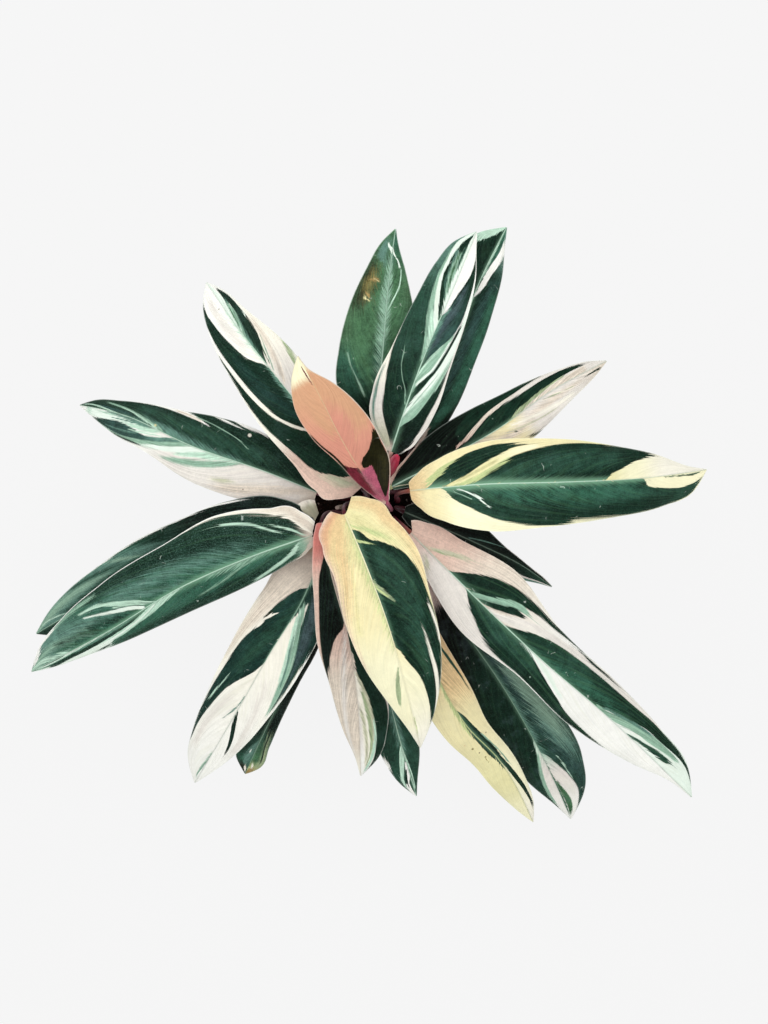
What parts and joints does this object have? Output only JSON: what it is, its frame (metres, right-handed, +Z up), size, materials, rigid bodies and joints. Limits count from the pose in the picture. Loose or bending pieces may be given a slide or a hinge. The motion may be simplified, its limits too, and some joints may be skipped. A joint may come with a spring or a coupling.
{
  "type": "potted stromanthe plant",
  "caption": "Potted prayer plant with long pointed leaves splashed green, cream and pink on slim dark red stalks, standing in a plain round pot of soil.",
  "frame": {"origin": "centre of the pot's flat underside", "axes": "+Z up along the pot's axis, +Y towards the leaves that grow away from the viewer, +X to the right, along the widest spread of the leaves"},
  "size_m": [0.6157, 0.5488, 0.3698],
  "materials": {
    "pot": "matte stoneware with fine speckle",
    "soil": "rough moist fibrous potting mix",
    "leaf_cream": "satin leaf, green with cream and pink-white brush marks",
    "leaf_green": "satin leaf, green with mint brush marks along the rib",
    "leaf_dark": "satin leaf, blackish green with mint and white streaks",
    "leaf_yellow": "satin leaf, yellow-cream with dark green areas",
    "leaf_pink": "soft satin young leaf, salmon pink",
    "stalk": "smooth satin dark red stalk, greener at the sheath",
    "shoot": "satin crimson rolled leaf",
    "dry_stub": "dry papery fibre"
  },
  "bodies": {
    "root": {"pot": "pot", "soil": "soil", "blade_northwest": "leaf_cream", "blade_west": "leaf_cream", "blade_west_back": "leaf_dark", "blade_west_front": "leaf_green", "blade_southwest": "leaf_cream", "blade_southwest_stub": "leaf_dark", "blade_south_left": "leaf_pink", "blade_south_small": "leaf_dark", "blade_front": "leaf_yellow", "blade_southeast_yellow": "leaf_yellow", "blade_southeast_dark": "leaf_dark", "blade_southeast_long": "leaf_cream", "blade_east_dark": "leaf_dark", "blade_east": "leaf_yellow", "blade_northeast": "leaf_cream", "blade_north_right": "leaf_green", "blade_north_back": "leaf_dark", "blade_north": "leaf_green", "blade_new_leaf": "leaf_pink", "stalk_northwest": "stalk", "stalk_west": "stalk", "stalk_west_back": "stalk", "stalk_west_front": "stalk", "stalk_southwest": "stalk", "stalk_southwest_stub": "stalk", "stalk_south_left": "stalk", "stalk_south_small": "stalk", "stalk_front": "stalk", "stalk_southeast_yellow": "stalk", "stalk_southeast_dark": "stalk", "stalk_southeast_long": "stalk", "stalk_east_dark": "stalk", "stalk_east": "stalk", "stalk_northeast": "stalk", "stalk_north_right": "stalk", "stalk_north_back": "stalk", "stalk_north": "stalk", "stalk_new_leaf": "stalk", "rolled_shoot": "shoot", "cut_stub": "dry_stub"}
  },
  "joints": []
}
